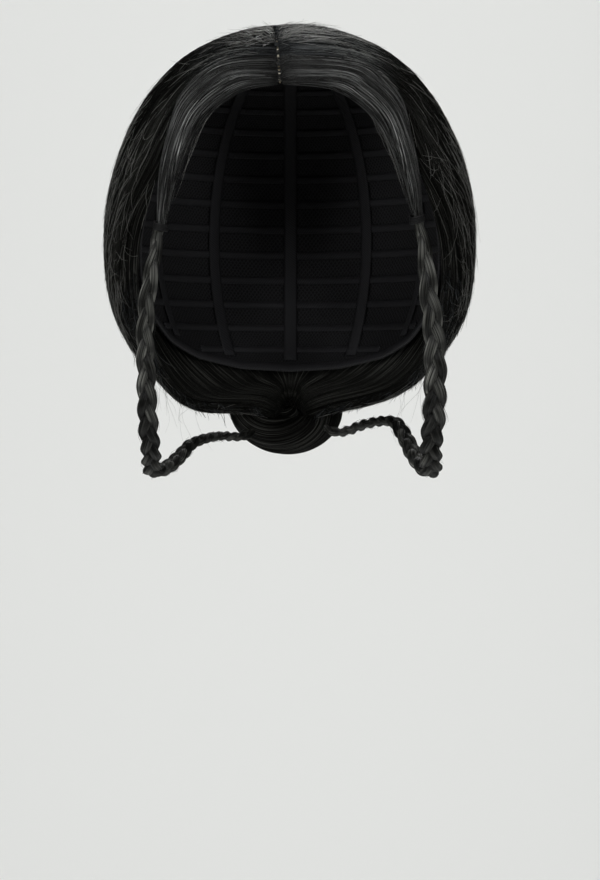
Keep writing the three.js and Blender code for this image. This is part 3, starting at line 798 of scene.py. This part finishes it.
back_sheet = hair_sheet(back_section, back_edges, RIGHT, BACK_SIZE, BACK_SEED)
back_body = sheet_mesh("back_body", back_sheet, RIGHT, BACK_GRID, fibre)
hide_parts("back_hair")
back_strands = drawn_hairs("back_strands", back_sheet, BACK_STRANDS, BACK_SEED + 50, fibre)
for piece in (back_body, back_strands):
    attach(piece, "root")


# Temple locks. The front hair of each side, combed along the hairline and drawn together into the
# tie at the temple. It is smoother than the rest, with a soft fringe of fine hairs on its front edge.

TEMPLE_COLUMNS = ("front_around", "front_up", "back_around", "back_up",
                  "base", "lift", "mid_lift", "back_lift")
TEMPLE_SECTIONS = (
    (19.5, 42, 34, 49.3, 3.1, 9, 10.5, 11.6),
    (30.5, 37.3, 44.5, 43.6, 3.1, 9.5, 11, 12),
    (38, 30.5, 50.5, 36, 3.1, 9.5, 10.8, 11),
    (42, 22.5, 52.3, 25.5, 2.4, 8.5, 9, 8.5),
    (45, 14, 52, 15.5, 2.2, 7.5, 7.8, 7.5),
    (47.3, 7.2, 51.8, 8, 2.2, 6.4, 6.6, 6.4),
    (49.5, 0.8, 52, 0.8, 2.5, 5.4, 5.4, 5.4),
)
TEMPLE_SIZE = (26, 7, 150)
TEMPLE_GRID = (120, 30, 90)
TEMPLE_NARROWING = 0.8
TEMPLE_GROOVE = 0.55
TEMPLE_FRONT = 0.02
TEMPLE_BACK = 0.95
TEMPLE_THINNING = 0.8
TEMPLE_THINS = (0.4, 0.6)
TEMPLE_ROOT_LIFTS = (4.0, 4.3, 4.6)
TEMPLE_STRANDS = 260
TEMPLE_SEED = 400
LEFT_TIE_RISE = 2.2
# The pale of the locks' painted sheen.
COMBED_PAINTED_SHEEN = "#b7b9b7"


def temple_table(side):
    table = dict(zip(TEMPLE_COLUMNS, np.array(TEMPLE_SECTIONS, float).T))
    table["back_base"] = table["base"]
    for edge in ("front_up", "back_up"):
        table[edge][-1] += (side == LEFT) * LEFT_TIE_RISE
    return with_roots(table, side, 0, LOCK_SHARE, TEMPLE_ROOT_LIFTS)


def temple_edges(t):
    return TEMPLE_FRONT + 0 * t, TEMPLE_BACK - TEMPLE_THINNING * smooth_step(*TEMPLE_THINS, t)


# The same fibre, combed and pulled tight, painted paler: more of its strands are pale, a painted satin sheen
# that stands in for the light they catch.
combed = fibre_material("combed_polyester_fibre_painted_sheen", COMBED_PAINTED_SHEEN, streaks=(0.455, 0.63), satin=0.06,
                        least_band=0.2, gloss_level=0.12, fades=(ROOT_SHADE,))

temple_sheets = {}
for side, name in SIDE_NAME.items():
    seed = TEMPLE_SEED + side
    section = table_section(temple_table(side), side)
    sheet = hair_sheet(section, temple_edges, side, TEMPLE_SIZE, seed, groove=TEMPLE_GROOVE)
    temple_sheets[side] = sheet
    body = sheet_mesh(f"temple_body_{name}", sheet, side, TEMPLE_GRID, combed, TEMPLE_NARROWING)
    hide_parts(f"temple_lock_{name}")
    strands = drawn_hairs(f"temple_strands_{name}", sheet, TEMPLE_STRANDS, seed + 50, combed)
    for piece in (body, strands):
        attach(piece, "root")


# Ties. A thin black elastic with a cotton cover, wound four times round the end of each lock. It holds
# by its own pull, and is dull against the hair.

TIE_BEARING = (50.8, 1)
TIE_LIFT = 3.9
TIE_DROP = {RIGHT: 1.2, LEFT: -2.6}
TIE_AXIS = {RIGHT: (2.5, -2.6, 14.3), LEFT: (-2.8, -2.6, 14.3)}
TIE_BORE = 2.75
TIE_CORD = 1.15
TIE_TURNS = 4
TIE_CLIMB = 0.95
TIE_SLACK = 0.16
TIE_STEPS = 160
TIE_SIDES = 10
TIE_SEED = 700
ELASTIC = "#09090a"
KNIT_SPACING = 0.5

# Cotton-covered elastic: dull black, with a fine knit that only just breaks its edge.
elastic, elastic_tree, elastic_shader = new_material("covered_elastic_cord")
elastic_place = add_node(elastic_tree, "TexCoord", {}, "Object")
elastic_knit = add_node(elastic_tree, "TexNoise", {
    "Vector": elastic_place, "Scale": 1 / (KNIT_SPACING * MM),
})
cloth_looks(elastic_tree, elastic_shader, elastic_knit, elastic_knit, (ELASTIC, ELASTIC), bump=(0.6, 0.25),
            roughness=0.6, specular=0.2)

for side, name in SIDE_NAME.items():
    axis = unit(np.array(TIE_AXIS[side]))
    middle = over_cap(direction(side, *TIE_BEARING), TIE_LIFT) - MM * TIE_DROP[side] * axis
    sideways = unit(np.cross(axis, (0, 1.0, 0)))
    forth = np.cross(axis, sideways)
    share = np.linspace(0, 1, TIE_STEPS + 1)
    turn = 2 * np.pi * TIE_TURNS * share
    slack = TIE_SLACK * drift(share * 17, share * 0 + 3, TIE_SEED + side)
    reach = TIE_BORE + TIE_CORD / 2 + slack
    climb = (share - 0.5) * (TIE_TURNS - 1) * TIE_CORD * TIE_CLIMB
    wound = (reach * np.cos(turn))[:, None] * sideways + (reach * np.sin(turn))[:, None] * forth
    cord = middle + MM * (wound + climb[:, None] * axis)
    half = np.full(TIE_STEPS + 1, TIE_CORD / 2 * MM)
    rings = tube_rings(cord, axis, half, half, TIE_SIDES)
    tie = add_tubes(f"wound_tie_{name}", rings, np.zeros((*rings.shape[:2], 2)), elastic)
    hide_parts(f"tie_{name}")
    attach(tie, "root")


# Braids. Three strands of the lock's own hair, plaited from the tie down and back in a loop to the
# knot, where the ends are tucked in.

BRAID_COLUMNS = ("x", "y", "z", "width", "pitch")
BRAID_ROUTES = {
    RIGHT: (
        (-63.1, -61.6, -95.4, 5.0, 52), (-65.6, -59, -109.7, 7.2, 52), (-68.9, -54.5, -127, 8.4, 49),
        (-70.5, -48, -147.3, 9.2, 45), (-70.3, -41, -167, 9.8, 40), (-69.9, -33, -187, 10.2, 36),
        (-68.8, -22, -203.5, 10.2, 32), (-68.2, -4, -214, 10, 29), (-61, 14, -212, 9, 28),
        (-55.3, 28, -206.5, 8, 28), (-49.5, 43, -200.5, 7.4, 28), (-38, 70, -197, 7, 28),
        (-25, 96.1, -197, 6.8, 28), (-15, 107, -191, 6.4, 28),
    ),
    LEFT: (
        (61.7, -62.5, -91.2, 4.6, 54), (63.1, -61.6, -95.8, 5.2, 54), (65.9, -59, -109.7, 8, 54),
        (67.6, -55, -127, 9.8, 51), (70.6, -48, -147.3, 11, 46), (71.2, -41, -167, 11.6, 41),
        (71, -33, -187, 11.6, 37), (69.8, -22, -203, 11.4, 33), (70, -4, -214, 11, 30),
        (63.8, 14, -208.5, 9.6, 29), (58, 31, -197, 8.6, 28), (52.6, 46, -189.5, 7.8, 28),
        (40, 71, -190.5, 7.2, 28), (25.5, 95.7, -195, 6.8, 28), (15, 107, -190, 6.4, 28),
    ),
}
BRAID_STEPS = 300
BRAID_SIDES = 32
BRAID_GIRTH = 10
BRAID_RELIEF = 0.1
BRAID_SEED = 500
STRAND_SWING = 0.255
STRAND_WEAVE = 0.14
STRAND_HALF_WIDTH = 0.26
STRAND_HALF_DEPTH = 0.215
STRAND_APART = 20
FRIZZ_HAIRS = 150
FRIZZ_POINTS = 8
FRIZZ_REACH = (8, 30)
FRIZZ_LIFT = (0.2, 1.6)
FRIZZ_RADIUS = (0.06, 0.11)
# The pale of the braids' painted highlights.
PLAITED_PAINTED_HIGHLIGHT = "#b3b4ad"
# A turn of the plait is two spacings long, and a strand crests twice on each face in it, where a highlight
# is painted. The painted shade lower down the braid runs in the same measure.
PAINTED_CREST_SPACING = 20
PLAIT_SHADE = (60, 95, 1.0, 0.45)

# The same fibre, plaited: a softer painted satin sheen than the lock's, with highlights painted on the
# strands' crests, broken by painted shade where the strands turn under and lower down the braid.
plaited = fibre_material("plaited_polyester_fibre_painted_highlights", PLAITED_PAINTED_HIGHLIGHT, streaks=(0.42, 0.62), satin=0.2,
                         least_band=0.1, gloss_level=0.14, fades=(PLAIT_SHADE,), painted_crest_every=PAINTED_CREST_SPACING)


def braid_frame(route):
    """The braid's middle line, its two cross directions, its width, its run and how far it has turned."""
    table = dict(zip(BRAID_COLUMNS, np.array(route, float).T))
    share = np.linspace(0, 1, BRAID_STEPS + 1)
    middle = np.stack([along(table[axis], share) for axis in "xyz"], axis=-1)
    forward = unit(np.gradient(middle, axis=0))
    across = np.empty_like(middle)
    held = np.array((1.0, 0, 0))
    for i, ahead in enumerate(forward):
        held = unit(held - np.dot(held, ahead) * ahead)
        across[i] = held
    stride = strides(middle)
    turns = added_up(stride / along(table["pitch"], share)[:-1])
    return middle, across, np.cross(across, forward), along(table["width"], share), added_up(stride), turns


def braid_strands(route, seed):
    """Rings and flow coordinates of the three strands, which cross over each other in turn."""
    middle, across, face, width, travelled, turns = braid_frame(route)
    girth = np.abs(ring_angles(BRAID_SIDES) - np.pi) / np.pi * BRAID_GIRTH
    strands, flows = [], []
    for k in range(3):
        angle = 2 * np.pi * (turns + k / 3)
        sideways = STRAND_SWING * width * np.sin(angle)
        outward = -STRAND_WEAVE * width * np.sin(2 * angle)
        path = middle + sideways[:, None] * across + outward[:, None] * face
        rings = tube_rings(path, face, STRAND_HALF_WIDTH * width, STRAND_HALF_DEPTH * width, BRAID_SIDES)
        round_strand = girth[None, :] + STRAND_APART * k
        ridges = relief(round_strand, travelled[:, None], seed + k)
        strands.append(path[:, None] + (rings - path[:, None]) * (1 + BRAID_RELIEF * ridges)[..., None])
        run = 2 * PAINTED_CREST_SPACING * (turns + k / 3)
        flows.append(together(round_strand, run[:, None]))
    return MM * np.array(strands), np.array(flows)


for side, route in BRAID_ROUTES.items():
    name = SIDE_NAME[side]
    rings, uv = braid_strands(route, BRAID_SEED + side)
    body = add_tubes(f"braid_body_{name}", rings, uv, plaited)
    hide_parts(f"braid_{name}")
    draw = np.random.default_rng(BRAID_SEED + 50 + side)
    frizz = []
    for _ in range(FRIZZ_HAIRS):
        k = draw.integers(3)
        step = draw.integers(4, BRAID_STEPS - 40)
        corner = draw.integers(BRAID_SIDES)
        reach = draw.integers(*FRIZZ_REACH)
        walk = np.linspace(step, step + reach, FRIZZ_POINTS).astype(int)
        surface = rings[k, walk, corner]
        core = rings[k, walk].mean(axis=1)
        lift = MM * (0.1 + draw.uniform(*FRIZZ_LIFT) * np.linspace(0, 1, FRIZZ_POINTS) ** 2)
        frizz.append(surface + lift[:, None] * unit(surface - core))
    down = np.linspace(0, 20, FRIZZ_POINTS)[None, :] + np.zeros((FRIZZ_HAIRS, 1))
    hairs = hair_mesh(f"braid_frizz_{name}", np.array(frizz), draw.uniform(*FRIZZ_RADIUS, FRIZZ_HAIRS),
                      draw.uniform(0, 40, FRIZZ_HAIRS), down, fibre)
    for piece in (body, hairs):
        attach(piece, "root")


# Knot. The drawn-back hair and the braid ends, twisted into one hank and coiled flat at the nape,
# where its own twist holds it.

KNOT_AT = np.array((0, 111, -181))
KNOT_FLATTEN = 0.76
KNOT_TURNS = 2.3
KNOT_REACH = 24.5
KNOT_EYE = 1.0
KNOT_CLOSING = 0.75
KNOT_THICK = (12.3, 8.5)
KNOT_DEPTH = (-3, 6.5)
KNOT_GIRTH = 45
KNOT_TWIST = 0.032
KNOT_RELIEF = 0.09
KNOT_STEPS = 220
KNOT_SIDES = 64
KNOT_SEED = 600
# The start of the hank is gathered in under the coil: over which share, and how much of each measure.
GATHER_SHARE = 0.14
GATHER_REACH = 0.45
GATHER_THICK = 0.5
GATHER_DEPTH = 10

share = np.linspace(0, 1, KNOT_STEPS + 1)
spiral = 2 * np.pi * KNOT_TURNS * share
gathered = 1 - smooth_step(0, GATHER_SHARE, share)
reach = (KNOT_REACH * (1 - share) ** KNOT_CLOSING + KNOT_EYE) * (1 - GATHER_REACH * gathered)
thick = (KNOT_THICK[0] + (KNOT_THICK[1] - KNOT_THICK[0]) * share) * (1 - GATHER_THICK * gathered)
depth = KNOT_DEPTH[0] + KNOT_DEPTH[1] * share - GATHER_DEPTH * gathered
coil = np.stack((reach * np.cos(spiral), depth, reach * np.sin(spiral) * KNOT_FLATTEN), axis=-1)
travelled = added_up(strides(coil))
knot_girth = np.abs(ring_angles(KNOT_SIDES) - np.pi) / np.pi * KNOT_GIRTH
knot_ridges = relief(knot_girth[None, :], travelled[:, None], KNOT_SEED)
rings = tube_rings(coil, np.array((0, 1.0, 0)), thick, thick, KNOT_SIDES, -KNOT_TWIST * travelled)
rings = coil[:, None] + (rings - coil[:, None]) * (1 + KNOT_RELIEF * knot_ridges)[..., None]
knot_flow = together(knot_girth[None, :], travelled[:, None])
knot = add_tubes("knot_coil", MM * (rings + KNOT_AT), knot_flow, fibre)
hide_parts("nape_knot")
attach(knot, "root")


# Loose hairs. Single fibres that have worked free: a fuzz over the sides, flyaways and wisps on the crown,
# a soft fringe and a few strays along the hairline, cut ends under the lower edge, fine hairs that hang
# inside the loops of the braids, and roots that cross the parting.

# Places run from 0 to 1 across and down the sheet, runs are shares of its length, the rest is in mm.
FUZZ = {"count": 700, "down": (0.27, 0.86), "length": (6, 22), "lift": (0.1, 1.3),
        "radius": (0.05, 0.09), "seed": 810}
FLYAWAYS = {"count": 190, "across": (0.0, 0.75), "down": (0.0, 0.6), "run": (0.02, 0.09),
            "radius": (0.06, 0.1), "seed": 820}
CROWN_WISPS = {"count": 170, "across": (0.14, 0.46), "run": (0.01, 0.045),
               "radius": (0.05, 0.08), "seed": 825}
CUT_ENDS = {"wisps": 96, "hairs": 7, "across": (0.0, 0.05), "down": (0.5, 0.93),
            "radius": (0.08, 0.15), "seed": 830}
LOOP_HAIRS = {"count": 16, "down": (0.62, 0.8), "hang": (12, 30), "radius": (0.04, 0.06), "seed": 835}
FRINGE = {"count": 170, "across": (0.0, 0.12), "down": (0.0, 0.8), "run": (0.08, 0.25),
          "lift": (0.1, 0.9), "radius": (0.07, 0.12), "seed": 840}
STRAYS = {"count": 6, "down": (0.3, 0.5), "run": (0.15, 0.4), "bow": (1.5, 5.0),
          "radius": (0.045, 0.06), "seed": 850}
TUFTS = {"tufts": 38, "hairs": 7, "along": (0.01, 0.45), "reach": (2.5, 9.0),
         "radius": (0.1, 0.17), "seed": 880}
LOOSE_SEED = 800
TUFT_SEED = 870
HAIR_STEPS = 9
# Painted light: the pale of single loose hairs.
LOOSE_PAINTED_LIGHT = "#9a9a95"

# The same fibre, single: painted paler than the mass of the hair, as the light that falls all round a loose
# hair.
loose, loose_tree, loose_shader = new_material("loose_polyester_fibre_painted_light")
loose_flow = add_node(loose_tree, "UVMap", uv_map="flow")
loose_noise = add_node(loose_tree, "TexNoise", {"Vector": loose_flow, "Scale": 0.4})
loose_colour = add_node(loose_tree, "Mix", {
    0: loose_noise, 6: to_linear(FIBRE_DARK), 7: to_linear(LOOSE_PAINTED_LIGHT),
}, 2, data_type="RGBA")
set_inputs(loose_tree, loose_shader, {"Base Color": loose_colour, "Roughness": 0.35, "IOR": 1.55})


def free_hairs(name, paths, group, seed_step, material, down=None):
    """A group of loose single hairs as one piece."""
    count, steps, _ = paths.shape
    draw = np.random.default_rng(group["seed"] + seed_step)
    if down is None:
        length = strides(paths).sum(axis=1) / MM
        down = length[:, None] * np.linspace(0, 1, steps)
    radius = draw.uniform(*group["radius"], count)
    piece = hair_mesh(name, paths, radius, draw.uniform(0, 200, count), down, material)
    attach(piece, "root")


def each(draw, group, measure):
    """An even draw within the group's measure, one row for each of its hairs."""
    return draw.uniform(*group[measure], group["count"])[:, None]


f = np.linspace(0, 1, HAIR_STEPS)
for side, name in SIDE_NAME.items():
    sheet = side_sheets[side]
    place, girth, lie, comb = (sheet[key] for key in ("place", "girth", "lie", "comb"))
    draw = np.random.default_rng(LOOSE_SEED + side)

    # Fuzz: short hairs that lie off the flow, bend, and lift at their ends.
    count = FUZZ["count"]
    q0 = 0.03 + 0.6 * draw.beta(1.2, 2.4, count)[:, None]
    t0 = each(draw, FUZZ, "down")
    stride = each(draw, FUZZ, "length") / (HAIR_STEPS - 1)
    slant = draw.normal(0.15, 0.55, count)[:, None] + draw.normal(0, 1.1, count)[:, None] * f
    run = np.cumsum(stride * np.cos(slant), axis=1)
    swing = np.cumsum(stride * np.sin(slant), axis=1)
    lift = 0.3 + each(draw, FUZZ, "lift") * f ** 2
    t = np.clip(t0 + run / sheet["length"], 0, 0.99)
    paths = place(comb(lie(q0, t0) + swing / girth, t), t, lift)
    free_hairs(f"fuzz_{name}", paths, FUZZ, side, loose)

    # Flyaways: hairs whose tips have come away from the crown and the sides.
    count = FLYAWAYS["count"]
    q0 = each(draw, FLYAWAYS, "across")
    t0 = each(draw, FLYAWAYS, "down")
    long = each(draw, FLYAWAYS, "run")
    tip = draw.gamma(2.0, 0.6, count)[:, None] * f ** 1.6
    stray = draw.normal(0, 0.035, count)[:, None] * f + draw.normal(0, 0.02, count)[:, None] * f ** 2
    t = np.clip(t0 + long * f, 0, 0.99)
    paths = place(comb(lie(q0, t0) + stray, t), t, 0.1 + tip)
    free_hairs(f"flyaways_{name}", paths, FLYAWAYS, side, loose)

    # Crown wisps: short hairs that stand off the crown beside the parting.
    count = CROWN_WISPS["count"]
    q0 = each(draw, CROWN_WISPS, "across")
    t0 = draw.beta(1.0, 2.0, count)[:, None] * 0.1
    long = each(draw, CROWN_WISPS, "run")
    tip = draw.gamma(2.0, 0.65, count)[:, None] * f ** 1.2
    stray = draw.normal(0, 0.06, count)[:, None] * f
    t = np.clip(t0 + long * f, 0, 0.99)
    paths = place(np.clip(q0 + stray, 0.01, 0.99), t, 0.1 + tip)
    free_hairs(f"crown_wisps_{name}", paths, CROWN_WISPS, side, loose)

    # Cut ends: wisps of short tips that hang from the lower edge towards the nape.
    wisps, hairs = CUT_ENDS["wisps"], CUT_ENDS["hairs"]
    count = wisps * hairs
    t0 = np.repeat(draw.uniform(*CUT_ENDS["down"], wisps), hairs) + draw.normal(0, 0.006, count)
    q0 = np.abs(np.repeat(draw.uniform(*CUT_ENDS["across"], wisps), hairs) + draw.normal(0, 0.004, count))
    root = place(q0, t0)[:, None]
    ahead = unit(place(q0, t0 + 0.02)[:, None] - root)
    lean = np.repeat(draw.normal(0, 0.3, (wisps, 1, 3)), hairs, axis=0)
    drop = draw.gamma(3.0, 1.7, count)[:, None, None] * MM
    fall = unit(ahead + np.array((0, 0, -0.8)) + lean + draw.normal(0, 0.12, (count, 1, 3)))
    curve = draw.normal(0, 0.15, (count, 1, 3)) * drop * f[None, :, None] ** 2
    paths = root + (f[None, :, None] - 0.3) * drop * fall + curve
    free_hairs(f"cut_ends_{name}", paths, CUT_ENDS, side, fibre)

    # Loop hairs: very fine long hairs that hang from the lower edge inside the loop of the braid.
    count = LOOP_HAIRS["count"]
    root = place(0.02, each(draw, LOOP_HAIRS, "down"))
    hang = each(draw, LOOP_HAIRS, "hang") * f
    curl = draw.normal(0, 5, (count, 1, 2)) * f[None, :, None] ** 2
    bend = draw.normal(0, 1.5, (count, 1, 2)) * np.sin(2 * np.pi * f)[None, :, None]
    paths = root + MM * np.concatenate((curl + bend, -hang[..., None]), axis=-1)
    free_hairs(f"loop_hairs_{name}", paths, LOOP_HAIRS, side, loose)

    # Fringe: fine hairs that follow the hairline just outside the temple lock.
    lock = temple_sheets[side]
    t0 = each(draw, FRINGE, "down")
    t = np.clip(t0 + each(draw, FRINGE, "run") * f, 0, 0.99)
    q = each(draw, FRINGE, "across") + 0 * t
    paths = lock["place"](q, t, each(draw, FRINGE, "lift") + 0 * t)
    free_hairs(f"fringe_{name}", paths, FRINGE, side, combed, t * lock["length"])

    # Strays: a few long hairs that bow forward, away from the lock.
    t0 = each(draw, STRAYS, "down")
    t = t0 + each(draw, STRAYS, "run") * f
    bow = each(draw, STRAYS, "bow") * np.sin(np.pi * 0.8 * f)
    free_hairs(f"strays_{name}", lock["place"](0.01 + 0 * t, t, bow), STRAYS, side, loose)

# Root tufts: a few hairs at a time that cross the parting and break up its line.
draw = np.random.default_rng(TUFT_SEED)
tufts, hairs = TUFTS["tufts"], TUFTS["hairs"]
count = tufts * hairs
tuft_share = np.repeat(draw.uniform(*TUFTS["along"], tufts), hairs) + draw.normal(0, 0.003, count)
tuft_side = np.repeat(draw.choice((RIGHT, LEFT), tufts), hairs)
tuft_reach = draw.uniform(*TUFTS["reach"], count)[:, None]
offset = tuft_side[:, None] * (-1.2 + tuft_reach * f[None, :]) + draw.normal(0, 0.2, count)[:, None]
share = tuft_share[:, None] + 0.012 * f[None, :] * draw.uniform(-1, 1, count)[:, None]
heading = part_direction(share)
heading[..., 0] += offset * MM / CAP_HALF[0]
root_lift = np.interp(share, (0, LOCK_SHARE, 0.6, 1), (TEMPLE_ROOT_LIFTS[0], ROOT_LIFTS[0], *ROOT_LIFTS[1:]))
lift = root_lift + 0.1 + 0.35 * np.abs(offset) ** 0.9 - 0.4 * np.sin(np.pi * f) ** 2
tuft_paths = over_cap(unit(heading), lift)
free_hairs("front_tufts", tuft_paths[tuft_share < LOCK_SHARE], TUFTS, 0, combed)
free_hairs("part_tufts", tuft_paths[tuft_share >= LOCK_SHARE], TUFTS, 1, fibre)
